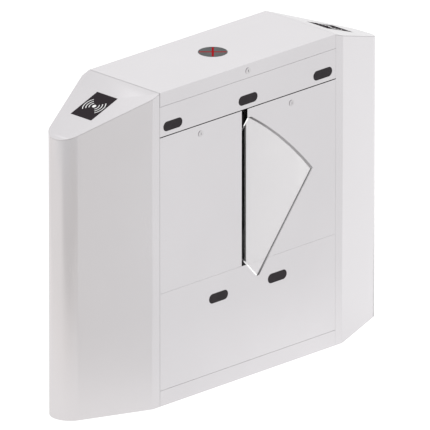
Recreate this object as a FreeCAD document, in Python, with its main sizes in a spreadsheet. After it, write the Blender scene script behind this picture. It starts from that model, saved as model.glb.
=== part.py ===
"""Flap-barrier turnstile cabinet: a sheet-steel pedestal whose clear flap swings out across a passage.

Frame: +Z up, +X along the cabinet, the flap comes out of the -Y face.
The origin is on the floor at the middle of the anchor-hole pattern. Millimetres throughout.
"""
import FreeCAD, Part
import os
import re
import Sketcher

Vector = FreeCAD.Vector
Rotation = FreeCAD.Rotation

SIZES = {
    # Cabinet envelope and sheet metal
    "height": 1000, "half_width": 150, "sheet": 2, "flange": 15, "seam_x": 373.5, "seam_gap": 0.7,
    "hairline": 0.3, "panel_gap": 0.5, "lid_gap": 1.2, "bend_x": 404, "bend_radius": 12, "taper": 22.1,
    "nose_radius": 64, "cover_flange": 17,
    # Levels of the front face, from the floor up
    "strip_top": 50, "lower_top": 360, "door_top": 858, "door_gap": 3, "lid_bottom": 955,
    # Flap slot and sloped ends
    "slot_x": -14.65, "slot_width": 24.3, "slope": 20, "end_length": 345, "cap_gap": 0.35,
    "reader_along": 135, "reader_length": 119, "reader_width": 87, "reader_thickness": 3,
    "reader_clearance": 0.5, "module_length": 96, "module_width": 70, "module_height": 22,
    # Sensor windows and direction indicator
    "window_length": 80, "window_height": 30, "window_thickness": 4, "window_recess": 0.2,
    "window_clearance": 0.3, "strip_window_x": 318, "strip_window_z": 888, "lower_window_x": 125,
    "lower_window_z": 288, "sensor_length": 50, "sensor_height": 24, "sensor_depth": 25,
    "indicator_radius": 45, "indicator_thickness": 4, "indicator_proud": 0.3, "cross_length": 84,
    "cross_width": 5, "cross_depth": 1.5, "cross_turn": 45, "housing_radius": 52, "housing_height": 22,
    "board_width": 62, "board_thickness": 1.6,
    # Base plate, anchors, cable entry and earth stud
    "plate": 6, "plate_half_length": 600, "plate_nose_half": 50, "plate_shoulder_x": 400,
    "plate_half_width": 131, "anchor_x": 450, "anchor_y": 70, "anchor_radius": 7, "cable_x": -200,
    "cable_radius": 25, "grommet_wall": 7, "grommet_flange": 4, "grommet_lift": 1, "stud_x": -120,
    "stud_y": 80, "stud_radius": 4, "stud_length": 25, "nut_radius": 7, "nut_height": 6.5,
    # Tube frame
    "tube": 25, "tube_wall": 2, "post_inner_x": 345, "post_inner_y": 105, "frame_top": 950,
    # Service doors, lugs and locks
    "lug_inner_x": 100, "lug_outer_x": 300, "lug_width": 30, "lug_depth": 13, "lug_slack": 3,
    "door_lock_z": 828, "left_lock_x": -200, "right_lock_x": 185.5, "lid_lock_z": 978, "bezel_radius": 10,
    "bezel_height": 1.5, "barrel_radius": 9, "barrel_length": 19, "barrel_nut_radius": 13,
    "barrel_nut_height": 4.5, "plug_radius": 6, "running_gap": 0.05, "key_width": 1.6, "key_height": 8,
    "key_depth": 6, "cam_length": 38, "lid_cam_length": 24, "cam_width": 12, "cam_thickness": 3,
    "cam_gap": 1.5, "keeper_width": 30, "keeper_height": 20, "keeper_sheet": 2, "lid_keeper_reach": 18,
    # Lid hinges
    "hinge_offset": 3.6, "knuckle_radius": 3, "hinge_pin_radius": 1.5, "leaf": 1.5, "leaf_height": 25,
    "knuckle_length": 16, "knuckle_gap": 0.5, "knuckle_count": 5, "hinge_x": 250, "leaf_relief": 4.2,
    # Flap: the sketch is in its retracted position, pivot at the sketch origin
    "flap_swing": 29.5, "pivot_y": -100, "pivot_z": 237, "flap_thickness": 12, "flap_outer": 40.6,
    "flap_inner": 237, "flap_bottom": 143.5, "flap_radius": 607, "flap_corner": 8,
    "clamp_sheet": 5, "clamp_heel": 24, "clamp_knee": 46, "clamp_near": 83, "clamp_far": 158,
    "clamp_low": 145, "clamp_high": 218, "bolt_near": 90, "bolt_far": 135, "bolt_low": 165, "bolt_high": 202,
    "shaft_radius": 10, "shaft_left": -70, "shaft_right": 48, "hub_radius": 22,
    "collar_radius": 18, "collar_length": 8, "press_gap": 0.02, "bolt_radius": 4, "bolt_head_radius": 6.5,
    "bolt_head": 4,
    # Linkage: lever on the flap shaft, link and motor crank
    "lever_left": 8, "lever_thickness": 6, "lever_throw": 50, "lever_half_width": 11, "link_left": 16,
    "link_thickness": 6, "link_half_width": 9, "crank_left": 24, "crank_thickness": 5, "link_pin_radius": 5,
    "pin_proud": 1, "open_pivot_gap": 0.5, "motor_y": 55, "motor_z": 200, "output_radius": 8,
    # Mechanism stand
    "base_left": -80, "base_right": 230, "base_half_width": 125, "base_bottom": 100, "leg_radius": 14,
    "leg_bore": 10, "leg_left": -55, "leg_right": 205, "leg_y": 100, "stand_left": -50, "drive_left": 30,
    "stand_sheet": 6, "stand_top": 275, "stand_front": 133, "stand_back": -60, "drive_back": 112,
    "foot": 25, "bearing_radius": 30, "bearing_length": 12, "bearing_bolt_ring": 24,
    "bearing_bolt_radius": 3, "shaft_clear": 14, "bearing_head_radius": 5, "bearing_head_height": 3.5,
    "gearbox_width": 90, "gearbox_length": 60, "motor_radius": 40, "motor_length": 104,
    "motor_cap_radius": 36, "motor_cap_length": 12, "bumper_radius": 7, "bumper_along": 23,
    "bumper_gap": 0.35, "flag_radius": 35, "flag_thickness": 2, "flag_left": -68, "fork_width": 12,
    "fork_height": 24, "fork_left": -75, "fork_slot": 5, "fork_offset": 30,
    "fork_clearance": 0.3,
    # Electrical equipment on its plate
    "equipment_left": 60, "equipment_right": 344, "equipment_bottom": 400, "equipment_top": 948,
    "box_left": 90, "box_width": 160, "box_bottom": 640, "box_height": 220, "box_depth": 40,
    "supply_width": 115, "supply_bottom": 430, "supply_height": 160, "supply_depth": 50,
    "rail_left": 225, "rail_length": 130, "rail_bottom": 480, "rail_height": 35, "rail_depth": 7.5,
    "terminal_width": 10, "terminal_pitch": 10.5, "terminal_height": 45, "terminal_depth": 35,
    "terminal_first": 236, "terminal_count": 10,
}

doc = FreeCAD.newDocument("FlapBarrier")
sheet = doc.addObject("Spreadsheet::Sheet", "Sizes")
for row, (alias, size) in enumerate(SIZES.items(), start=1):
    sheet.set(f"A{row}", alias)
    sheet.set(f"B{row}", str(size))
    sheet.setAlias(f"B{row}", alias)
doc.recompute()

NODES = {}


# ---- Formulas -------------------------------------------------------------------------------------

def linked(formula):
    """The formula with each size name turned into a reference to its spreadsheet cell."""
    return re.sub(r"[a-z_]+", lambda word: f"Sizes.{word[0]}" if word[0] in SIZES else word[0], str(formula))


def number(formula):
    """The present value of a formula."""
    return float(sheet.evalExpression(linked(formula)))


def bind(item, prop, formula):
    """Tie a property to a formula of the spreadsheet."""
    item.setExpression(prop, linked(formula))


def put(item, x, y, z):
    """Tie an object's position to three formulas."""
    for axis, formula in zip("xyz", (x, y, z)):
        bind(item, f"Placement.Base.{axis}", formula)
    return item


# ---- Building blocks ------------------------------------------------------------------------------

def node(label, shape):
    """Register a finished piece under its own name."""
    shape.Label = label
    NODES[label] = shape
    return shape


def box(name, x, y, z):
    """Block between a low and a high formula along each axis."""
    block = doc.addObject("Part::Box", name)
    for prop, (low, high) in zip(("Length", "Width", "Height"), (x, y, z)):
        bind(block, prop, f"({high}) - ({low})")
    return put(block, x[0], y[0], z[0])


TURN = {"x": Rotation(Vector(0, 1, 0), 90), "y": Rotation(Vector(1, 0, 0), -90), "z": Rotation()}


def cylinder(name, axis, radius, span, centre):
    """Round bar along an axis, over a span, centred on the two other coordinates."""
    bar = doc.addObject("Part::Cylinder", name)
    bar.Placement = FreeCAD.Placement(Vector(), TURN[axis])
    bind(bar, "Radius", radius)
    bind(bar, "Height", f"({span[1]}) - ({span[0]})")
    base = list(centre)
    base.insert("xyz".index(axis), span[0])
    return put(bar, *base)


def fuse(name, *shapes):
    joined = doc.addObject("Part::MultiFuse", name)
    joined.Shapes = list(shapes)
    return joined


def cut(name, base, *tools):
    result = doc.addObject("Part::Cut", name)
    result.Base = base
    result.Tool = tools[0] if len(tools) == 1 else fuse(f"{name}_tools", *tools)
    return result


def group(name, *shapes):
    """Identical loose pieces kept as separate solids of one node."""
    gathered = doc.addObject("Part::Compound", name)
    gathered.Links = list(shapes)
    return gathered


def outline(sketch, corners):
    """Closed outline drawn counter-clockwise.

    A corner is (x, y), or (x, y, radius) where the edge that leaves it is an outward arc of that radius;
    a radius that starts with a minus sign bends inward.
    """
    first = sketch.GeometryCount
    points = [Vector(number(corner[0]), number(corner[1]), 0) for corner in corners]
    starts, ends = [], []
    for index, corner in enumerate(corners):
        begin, finish = points[index], points[(index + 1) % len(points)]
        if len(corner) == 2:
            geometry = sketch.addGeometry(Part.LineSegment(begin, finish))
            starts.append(1)
            ends.append(2)
            continue
        inward = corner[2].startswith("-")
        radius = number(corner[2].lstrip("-"))
        chord = finish - begin
        outward = Vector(chord.y, -chord.x, 0).normalize() * (-1 if inward else 1)
        rise = radius - (radius ** 2 - (chord.Length / 2) ** 2) ** 0.5
        geometry = sketch.addGeometry(Part.Arc(begin, (begin + finish) / 2 + outward * rise, finish))
        starts.append(2 if inward else 1)
        ends.append(1 if inward else 2)
        radius_rule = sketch.addConstraint(Sketcher.Constraint("Radius", geometry, radius))
        bind(sketch, f"Constraints[{radius_rule}]", corner[2].lstrip("-"))
    for index, corner in enumerate(corners):
        following = (index + 1) % len(corners)
        joint = (first + index, ends[index], first + following, starts[following])
        sketch.addConstraint(Sketcher.Constraint("Coincident", *joint))
        for kind, formula in zip(("DistanceX", "DistanceY"), corner):
            rule = Sketcher.Constraint(kind, -1, 1, first + index, starts[index], number(formula))
            bind(sketch, f"Constraints[{sketch.addConstraint(rule)}]", formula)


def circle(sketch, x, y, radius):
    """Round hole held by its centre and radius."""
    centre = Vector(number(x), number(y), 0)
    geometry = sketch.addGeometry(Part.Circle(centre, Vector(0, 0, 1), number(radius)))
    for kind, formula in (("DistanceX", x), ("DistanceY", y)):
        rule = Sketcher.Constraint(kind, -1, 1, geometry, 3, number(formula))
        bind(sketch, f"Constraints[{sketch.addConstraint(rule)}]", formula)
    rule = Sketcher.Constraint("Radius", geometry, number(radius))
    bind(sketch, f"Constraints[{sketch.addConstraint(rule)}]", radius)


def plate(name, plane, corners, thickness, holes=()):
    """Flat piece padded from one sketch on an origin plane, with round holes."""
    body = doc.addObject("PartDesign::Body", name)
    sketch = body.newObject("Sketcher::SketchObject", f"{name}_sketch")
    support = next(item for item in body.Origin.OriginFeatures if item.Role == plane)
    sketch.AttachmentSupport = [(support, "")]
    sketch.MapMode = "FlatFace"
    outline(sketch, corners)
    for hole in holes:
        circle(sketch, *hole)
    pad = body.newObject("PartDesign::Pad", f"{name}_pad")
    pad.Profile = sketch
    bind(pad, "Length", thickness)
    return body


def stadium(name, x, z, y, grow="0"):
    """Round-ended bar through the front, its length along X, enlarged all round by grow."""
    reach = "(window_length - window_height) / 2"
    radius = f"window_height / 2 + {grow}"
    middle = box(f"{name}_middle", (f"{x} - {reach}", f"{x} + {reach}"), y,
                 (f"{z} - ({radius})", f"{z} + {radius}"))
    ends = [cylinder(f"{name}_end", "y", radius, y, (f"{x} {sign} {reach}", z)) for sign in "-+"]
    return fuse(name, middle, *ends)


# ---- Base, frame and cabinet sheets ---------------------------------------------------------------

FACE = "-half_width"
SKIN_BACK = "-half_width + sheet"
FLANGE_BACK = "-half_width + flange"
BETWEEN_SEAMS = ("-seam_x + panel_gap", "seam_x - hairline / 2")
LOCK_HOLE = ("-half_width - sheet", "-half_width + 2 * sheet")


def tray(name, x, z, rear=False):
    """Sheet panel on the front or rear face with all four edges folded inward."""
    face, skin, back = (FACE, SKIN_BACK, FLANGE_BACK)
    outer_y = ("half_width - flange", "half_width") if rear else (face, back)
    inner_y = (skin, "-half_width + 2 * flange")
    if rear:
        inner_y = ("half_width - 2 * flange", "half_width - sheet")
    shell = box(f"{name}_outside", x, outer_y, z)
    hollow = box(f"{name}_inside", (f"{x[0]} + sheet", f"{x[1]} - sheet"), inner_y,
                 (f"{z[0]} + sheet", f"{z[1]} - sheet"))
    return cut(f"{name}_tray", shell, hollow)


def base_plate():
    """Floor plate with anchor holes and cable hole, its rubber grommet and the earth stud."""
    corners = [("-plate_half_length", "-plate_nose_half"), ("-plate_shoulder_x", "-plate_half_width"),
               ("plate_shoulder_x", "-plate_half_width"), ("plate_half_length", "-plate_nose_half"),
               ("plate_half_length", "plate_nose_half"), ("plate_shoulder_x", "plate_half_width"),
               ("-plate_shoulder_x", "plate_half_width"), ("-plate_half_length", "plate_nose_half")]
    signs = [(along, across) for along in ("-", "") for across in ("-", "")]
    holes = [(f"{along}anchor_x", f"{across}anchor_y", "anchor_radius") for along, across in signs]
    holes.append(("cable_x", "0", "cable_radius + grommet_wall"))
    node("base_plate", plate("floor_plate", "XY_Plane", corners, "plate", holes))
    entry = ("cable_x", "0")
    sleeve = cylinder("grommet_sleeve", "z", "cable_radius + grommet_wall", ("grommet_lift", "plate"), entry)
    rim = cylinder("grommet_rim", "z", "cable_radius + 2 * grommet_wall",
                   ("plate", "plate + grommet_flange"), entry)
    bore = cylinder("grommet_bore", "z", "cable_radius", ("0", "plate + 2 * grommet_flange"), entry)
    node("cable_grommet", cut("grommet", fuse("grommet_body", sleeve, rim), bore))
    stud = cylinder("stud", "z", "stud_radius", ("plate", "plate + stud_length"), ("stud_x", "stud_y"))
    nut = cylinder("stud_nut", "z", "nut_radius", ("plate", "plate + nut_height"), ("stud_x", "stud_y"))
    node("earth_stud", fuse("stud_with_nut", stud, nut))


def square_tube(name, axis, x, y, z):
    """Square tube, open at both ends along its axis."""
    shell = box(f"{name}_outside", x, y, z)
    spans = [(f"{low} + tube_wall", f"{high} - tube_wall") for low, high in (x, y, z)]
    index = "xyz".index(axis)
    spans[index] = (f"{(x, y, z)[index][0]} - tube_wall", f"{(x, y, z)[index][1]} + tube_wall")
    return cut(name, shell, box(f"{name}_inside", *spans))


def side_span(side, inner):
    """Span of one tube width on the minus or plus side, starting at the inner size."""
    return (inner, f"{inner} + tube") if side == "+" else (f"-({inner} + tube)", f"-{inner}")


def frame():
    """Welded square-tube frame: four posts on the plate, two long and two short rails at the top."""
    top = ("frame_top - tube", "frame_top")
    between_x = ("-post_inner_x", "post_inner_x")
    between_y = ("-post_inner_y", "post_inner_y")
    posts = [square_tube("post", "z", side_span(i, "post_inner_x"), side_span(j, "post_inner_y"),
                         ("plate", "frame_top")) for i in "-+" for j in "-+"]
    node("frame_posts", group("posts", *posts))
    long_rails = [square_tube("long_rail", "x", between_x, side_span(sign, "post_inner_y"), top)
                  for sign in "-+"]
    short_rails = [square_tube("short_rail", "y", side_span(sign, "post_inner_x"), between_y, top)
                   for sign in "-+"]
    node("frame_rails", group("rails", *long_rails, *short_rails))


def front_sheets():
    """Fixed sheets of the front and rear faces, with the openings for the sensor windows."""
    span_x = BETWEEN_SEAMS
    through = ("-half_width - flange", "-half_width + 2 * flange")
    strips = []
    for name, rear in (("front_strip", False), ("rear_strip", True)):
        low = "-half_width + sheet" if not rear else "half_width - 2 * flange"
        strip = tray(name, span_x, ("0", "strip_top - seam_gap / 2"), rear)
        open_foot = box(f"{name}_foot", (f"{span_x[0]} + sheet", f"{span_x[1]} - sheet"),
                        (low, "half_width - sheet" if rear else "-half_width + 2 * flange"),
                        ("-sheet", "2 * sheet"))
        strips.append(cut(f"{name}_open", strip, open_foot))
    node("base_strips", group("strips", *strips))
    lower = tray("lower_front_panel", span_x, ("strip_top + seam_gap / 2", "lower_top - hairline / 2"))
    windows = [stadium("lower_hole", f"{sign}lower_window_x", "lower_window_z", through, "window_clearance")
               for sign in ("-", "")]
    notch_y = (f"{SKIN_BACK} + hairline", f"{FLANGE_BACK} + sheet")
    notches = [box("lug_notch", (f"{x} - lug_width / 2 - lug_slack", f"{x} + lug_width / 2 + lug_slack"),
                   notch_y, ("lower_top - flange", "lower_top"))
               for x in ("-lug_outer_x", "-lug_inner_x", "lug_inner_x", "lug_outer_x")]
    node("lower_front_panel", cut("lower_front", lower, *windows, *notches))
    strip = tray("sensor_strip", span_x, ("door_top + door_gap / 2", "lid_bottom - seam_gap / 2"))
    holes = [stadium("strip_hole", x, "strip_window_z", through, "window_clearance")
             for x in ("-strip_window_x", "0", "strip_window_x")]
    node("sensor_strip", cut("sensor_strip_cut", strip, *holes))
    rear_z = ("strip_top + seam_gap / 2", "lid_bottom - seam_gap / 2")
    node("rear_panel", tray("rear_panel", span_x, rear_z, rear=True))


def sensors():
    """Infrared windows in the front sheets and the sensor modules behind them."""
    places = [(x, "strip_window_z") for x in ("-strip_window_x", "0", "strip_window_x")]
    places += [(x, "lower_window_z") for x in ("-lower_window_x", "lower_window_x")]
    span = (f"{FACE} + window_recess", f"{FACE} + window_recess + window_thickness")
    node("sensor_windows", group("windows", *[stadium("window", x, z, span) for x, z in places]))
    back = (span[1], f"{span[1]} + sensor_depth")
    modules = [box("module", (f"{x} - sensor_length / 2", f"{x} + sensor_length / 2"), back,
                   (f"{z} - sensor_height / 2", f"{z} + sensor_height / 2"))
               for x, z in places]
    node("sensor_modules", group("modules", *modules))


# ---- Tapered ends with sloped reader panels -------------------------------------------------------

BEND_CENTRE = "(bend_x - bend_radius * tan(taper / 2))"
NOSE_CENTRE = "(bend_x + (half_width * cos(taper) - nose_radius) / sin(taper))"
ENDS = {"left": "-", "right": ""}


def end_outline(sign, start, inset):
    """Plan outline of one tapered end, inset from its surface: flat, bend, taper, round nose and back."""
    bend = f"(bend_radius - {inset})"
    nose = f"(nose_radius - {inset})"
    level = "half_width - bend_radius"
    quarter = [(start, f"(half_width - {inset})"),
               (BEND_CENTRE, f"({level} + {bend})", bend),
               (f"({BEND_CENTRE} + {bend} * sin(taper))", f"({level} + {bend} * cos(taper))"),
               (f"({NOSE_CENTRE} + {nose} * sin(taper))", f"({nose} * cos(taper))", nose)]
    first, second = ("", "-") if sign else ("-", "")
    going = [(f"{sign}{x}", f"{first}{y}", *arc) for x, y, *arc in quarter]
    returning = [(f"{sign}{x}", f"{second}{y}") for x, y, *_ in reversed(quarter)]
    returning[1] += (bend,)
    return going + returning


def slope_box(name, sign, along, length, width, top, thickness):
    """Block lying on an end's slope: centred along it, its top face lifted by top above the surface."""
    block = doc.addObject("Part::Box", name)
    block.Placement = FreeCAD.Placement(Vector(), Rotation(Vector(0, 1, 0), 1))
    for prop, formula in zip(("Length", "Width", "Height"), (length, width, thickness)):
        bind(block, prop, formula)
    bind(block, "Placement.Rotation.Angle", f"{sign}1 * slope")
    low = f"(({top}) - ({thickness}))"
    x = f"{sign}1 * (seam_x + ({along}) * cos(slope) + {low} * sin(slope)) - ({length}) / 2 * cos(slope)"
    z = f"height - ({along}) * sin(slope) + {sign}1 * ({length}) / 2 * sin(slope) + {low} * cos(slope)"
    return put(block, x, f"-({width}) / 2", z)


def end_cover(side, sign):
    """Wrap-round end sheet with return flanges at the seam, its top edge cut to the slope."""
    start = "(seam_x + hairline / 2)"
    skin = plate(f"cover_skin_{side}", "XY_Plane", end_outline(sign, start, "0"), "height")
    hollow = plate(f"cover_hollow_{side}", "XY_Plane", end_outline(sign, "(seam_x - sheet)", "sheet"),
                   "height + sheet")
    near, far = f"{sign}{start}", f"{sign}({start} + sheet)"
    span_x = (far, near) if sign else (near, far)
    flanges = [box(f"cover_flange_{side}", span_x, span_y, ("0", "height"))
               for span_y in (("-half_width + sheet / 2", "-half_width + cover_flange"),
                              ("half_width - cover_flange", "half_width - sheet / 2"))]
    shell = cut(f"cover_shell_{side}", skin, hollow)
    folded = fuse(f"cover_folded_{side}", shell, *flanges)
    headroom = slope_box(f"cover_headroom_{side}", sign, "end_length / 2 - reader_thickness", "end_length",
                         "4 * half_width", "end_length / 2", "end_length / 2 + sheet + cap_gap")
    node(f"end_cover_{side}", cut(f"cover_cut_{side}", folded, headroom))


def reader(side, sign):
    """Sloped panel that closes an end, its dark reader window and the reader module under it."""
    start = "(seam_x + hairline / 2)"
    column = plate(f"panel_column_{side}", "XY_Plane", end_outline(sign, start, "0"), "height")
    slab = slope_box(f"panel_slab_{side}", sign, "end_length / 2 - reader_thickness", "end_length",
                     "4 * half_width", "0", "sheet")
    sheet_piece = doc.addObject("Part::Common", f"panel_sheet_{side}")
    sheet_piece.Base = column
    sheet_piece.Tool = slab
    hole = slope_box(f"panel_hole_{side}", sign, "reader_along", "reader_length + reader_clearance",
                     "reader_width + reader_clearance", "sheet", "3 * sheet")
    node(f"reader_panel_{side}", cut(f"panel_cut_{side}", sheet_piece, hole))
    node(f"reader_window_{side}", slope_box(f"window_{side}", sign, "reader_along", "reader_length",
                                            "reader_width", "0", "reader_thickness"))
    return slope_box(f"reader_box_{side}", sign, "reader_along", "module_length", "module_width",
                     "-reader_thickness", "module_height")


def ends():
    """Both tapered ends."""
    modules = []
    for side, sign in ENDS.items():
        end_cover(side, sign)
        modules.append(reader(side, sign))
    node("reader_modules", group("reader_boxes", *modules))


# ---- Lid, indicator and doors ---------------------------------------------------------------------

def lid():
    """Top cover with deep lips all round, an opening for the indicator and a lock hole in the front lip."""
    left, right = "-seam_x + lid_gap", BETWEEN_SEAMS[1]
    span_y = ("-half_width", "half_width")
    shell = box("lid_outside", (left, right), span_y, ("lid_bottom + seam_gap / 2", "height"))
    hollow = box("lid_inside", (f"{left} + sheet", f"{right} - sheet"),
                 ("-half_width + sheet", "half_width - sheet"), ("lid_bottom - sheet", "height - sheet"))
    opening = cylinder("lid_opening", "z", "indicator_radius + press_gap",
                       ("height - 2 * sheet", "height + sheet"), ("0", "0"))
    lock_hole = cylinder("lid_lock_hole", "y", "barrel_radius + press_gap", LOCK_HOLE, ("0", "lid_lock_z"))
    node("lid", cut("lid_cut", shell, hollow, opening, lock_hole))


def indicator():
    """Round direction indicator: dark lens, inlaid cross, LED board and a cup under the lid."""
    top = "height + indicator_proud"
    lens = cylinder("lens_disc", "z", "indicator_radius", (f"{top} - indicator_thickness", top), ("0", "0"))
    spans = (("-cross_length / 2", "cross_length / 2"), ("-cross_width / 2", "cross_width / 2"))

    def cross(name, height):
        bars = []
        for lean in (1, -1):
            bar = doc.addObject("Part::Box", f"{name}_bar")
            bar.Placement = FreeCAD.Placement(Vector(), Rotation(Vector(0, 0, 1), 1))
            bind(bar, "Placement.Rotation.Angle", f"{lean} * cross_turn")
            for prop, formula in zip(("Length", "Width", "Height"), ("cross_length", "cross_width", height)):
                bind(bar, prop, formula)
            x = f"(-cross_length * cos(cross_turn) + {lean} * cross_width * sin(cross_turn)) / 2"
            y = f"(-{lean} * cross_length * sin(cross_turn) - cross_width * cos(cross_turn)) / 2"
            bars.append(put(bar, x, y, f"{top} - cross_depth"))
        return fuse(name, *bars)

    node("indicator_lens", cut("lens", lens, cross("cross_groove", "2 * cross_depth")))
    node("indicator_cross", cross("cross", "cross_depth"))
    floor = "height - sheet - housing_height"
    cup = cylinder("cup_outside", "z", "housing_radius", (floor, "height - sheet"), ("0", "0"))
    well = cylinder("cup_inside", "z", "housing_radius - 2 * sheet", (f"{floor} + sheet", "height"),
                    ("0", "0"))
    node("indicator_housing", cut("cup", cup, well))
    half = "board_width / 2"
    node("indicator_board", box("led_board", (f"-{half}", half), (f"-{half}", half),
                                (f"{floor} + 2 * sheet", f"{floor} + 2 * sheet + board_thickness")))


def door(side, span_x, lock_x, lugs):
    """Service door: folded tray with two lugs that drop behind the lower panel, lock hole at its top."""
    span_z = ("lower_top + hairline / 2", "door_top - door_gap / 2")
    shell = tray(f"door_{side}", span_x, span_z)
    hooks = [box(f"door_lug_{side}", (f"{x} - lug_width / 2", f"{x} + lug_width / 2"),
                 ("-half_width + 2 * sheet", "-half_width + 3 * sheet"),
                 ("lower_top - lug_depth", "lower_top + sheet")) for x in lugs]
    hole = cylinder(f"door_lock_hole_{side}", "y", "barrel_radius + press_gap", LOCK_HOLE,
                    (lock_x, "door_lock_z"))
    node(f"door_{side}", cut(f"door_cut_{side}", fuse(f"door_with_lugs_{side}", shell, *hooks), hole))


def doors():
    """The two doors, one each side of the flap slot."""
    door("left", (BETWEEN_SEAMS[0], "slot_x - slot_width / 2"), "left_lock_x",
         ("-lug_outer_x", "-lug_inner_x"))
    door("right", ("slot_x + slot_width / 2", BETWEEN_SEAMS[1]), "right_lock_x",
         ("lug_inner_x", "lug_outer_x"))


def lock(name, x, z, cam):
    """Cam lock in a front sheet: fixed barrel with bezel and nut, and the turning plug with its cam."""
    centre = (x, z)
    inner = f"{FACE} + barrel_length"
    proud = f"{FACE} - bezel_height"
    bezel = cylinder(f"{name}_bezel", "y", "bezel_radius", (proud, FACE), centre)
    sleeve = cylinder(f"{name}_sleeve", "y", "barrel_radius", (FACE, inner), centre)
    nut = cylinder(f"{name}_nut", "y", "barrel_nut_radius", (SKIN_BACK, f"{SKIN_BACK} + barrel_nut_height"),
                   centre)
    bore = cylinder(f"{name}_bore", "y", "plug_radius + running_gap",
                    (f"{proud} - sheet", f"{inner} + sheet"), centre)
    barrel = fuse(f"{name}_barrel_body", bezel, sleeve, nut)
    node(f"lock_barrel_{name}", cut(f"{name}_barrel", barrel, bore))
    cam_y = (f"{inner} + cam_gap", f"{inner} + cam_gap + cam_thickness")
    plug = cylinder(f"{name}_plug", "y", "plug_radius", (proud, cam_y[1]), centre)
    arm = box(f"{name}_cam", cam[0], cam_y, cam[1])
    slot = box(f"{name}_keyway", (f"{x} - key_width / 2", f"{x} + key_width / 2"),
               (f"{proud} - sheet", f"{proud} + key_depth"),
               (f"{z} - key_height / 2", f"{z} + key_height / 2"))
    node(f"lock_plug_{name}", cut(f"{name}_plug_cut", fuse(f"{name}_plug_body", plug, arm), slot))


def locks():
    """Locks of both doors and the lid, all drawn unlocked, with the keepers that their cams turn behind."""
    half = "cam_width / 2"
    inner = f"{FACE} + barrel_length + cam_gap"
    keepers = []
    for side, x in (("left", "left_lock_x"), ("right", "right_lock_x")):
        cam_z = (f"door_lock_z - {half}", f"door_lock_z + {half}")
        lock(side, x, "door_lock_z", ((f"{x} - cam_length", x), cam_z))
        span_x = (f"{x} - keeper_width / 2", f"{x} + keeper_width / 2")
        ledge = "door_top + door_gap / 2 + sheet"
        lip = (f"{inner} - cam_gap - keeper_sheet", f"{inner} - cam_gap")
        foot = box("keeper_foot", span_x, (SKIN_BACK, lip[1]), (ledge, f"{ledge} + keeper_sheet"))
        upright = box("keeper_lip", span_x, lip, (ledge, f"{ledge} + keeper_height"))
        keepers.append(fuse("keeper", foot, upright))
    lock("lid", "0", "lid_lock_z", ((f"-{half}", half), ("lid_lock_z - lid_cam_length", "lid_lock_z")))
    reach = "-lid_cam_length - 2 * keeper_sheet"
    depth = ("-post_inner_y - tube", "-post_inner_y - tube / 2")
    crown = f"lid_lock_z + {half} + cam_gap"
    leg = box("lid_keeper_leg", (f"{reach} - keeper_sheet", reach), depth,
              ("frame_top", f"{crown} + keeper_sheet"))
    leaf = box("lid_keeper_leaf", (reach, f"{reach} + lid_keeper_reach"), depth,
               (crown, f"{crown} + keeper_sheet"))
    keepers.append(fuse("lid_keeper", leg, leaf))
    node("lock_keepers", group("keepers", *keepers))


def lid_hinges():
    """Two knuckle hinges on the rear: leaves on the rear panel, leaves on the lid, and their pins."""
    axis = ("half_width + hinge_offset", "lid_bottom")
    leaf_y = ("half_width", "half_width + leaf")
    fixed, moving, pins = [], [], []
    for middle in ("-hinge_x", "hinge_x"):
        half = "(knuckle_count / 2 * knuckle_length)"
        span = (f"{middle} - {half}", f"{middle} + {half}")
        leaves = {"fixed": box("fixed_leaf", span, leaf_y,
                               ("lid_bottom - leaf_height", "lid_bottom - knuckle_gap")),
                  "moving": box("moving_leaf", span, leaf_y,
                                ("lid_bottom + knuckle_gap", "lid_bottom + leaf_height"))}
        knuckles = {"fixed": [], "moving": []}
        reliefs = {"fixed": [], "moving": []}
        for index in range(SIZES["knuckle_count"]):
            own, other = ("fixed", "moving") if index % 2 == 0 else ("moving", "fixed")
            low = f"{middle} - {half} + {index} * knuckle_length"
            high = f"{low} + knuckle_length"
            knuckles[own].append(cylinder("knuckle", "x", "knuckle_radius",
                                          (f"{low} + knuckle_gap / 2", f"{high} - knuckle_gap / 2"), axis))
            reliefs[other].append(box("knuckle_relief",
                                      (f"{low} - knuckle_gap / 2", f"{high} + knuckle_gap / 2"),
                                      ("half_width - leaf", "half_width + 2 * leaf"),
                                      ("lid_bottom - leaf_relief", "lid_bottom + leaf_relief")))
        bore = cylinder("hinge_bore", "x", "hinge_pin_radius + running_gap",
                        (f"{span[0]} - knuckle_gap", f"{span[1]} + knuckle_gap"), axis)
        for kind, pieces in (("fixed", fixed), ("moving", moving)):
            trimmed = cut(f"{kind}_leaf_trimmed", leaves[kind], *reliefs[kind])
            pieces.append(cut(f"{kind}_half", fuse(f"{kind}_half_body", trimmed, *knuckles[kind]), bore))
        pins.append(cylinder("hinge_pin", "x", "hinge_pin_radius", span, axis))
    node("lid_hinge_fixed_leaves", group("fixed_leaves", *fixed))
    node("lid_hinge_moving_leaves", group("moving_leaves", *moving))
    node("lid_hinge_pins", group("hinge_pins", *pins))


# ---- Flap and its shaft ---------------------------------------------------------------------------

FLAP_LEFT = "(slot_x - flap_thickness / 2)"
FLAP_RIGHT = "(slot_x + flap_thickness / 2)"
PIVOT = ("pivot_y", "pivot_z")
CLAMP_BOLTS = [("bolt_near", "bolt_low"), ("bolt_far", "bolt_low"),
               ("(bolt_near + bolt_far) / 2", "bolt_high")]


def swung(y, z):
    """Where a point given beside the pivot, in the retracted position, lies with the flap out."""
    return (f"pivot_y + ({y}) * cos(flap_swing) - ({z}) * sin(flap_swing)",
            f"pivot_z + ({y}) * sin(flap_swing) + ({z}) * cos(flap_swing)")


def swing_plate(name, corners, left, thickness, holes=()):
    """Plate drawn retracted around the pivot, then stood in its swung-out position."""
    body = plate(name, "YZ_Plane", corners, thickness, holes)
    body.Placement = FreeCAD.Placement(Vector(), Rotation(Vector(1, 0, 0), 1))
    bind(body, "Placement.Rotation.Angle", "flap_swing")
    return put(body, left, *PIVOT)


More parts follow.
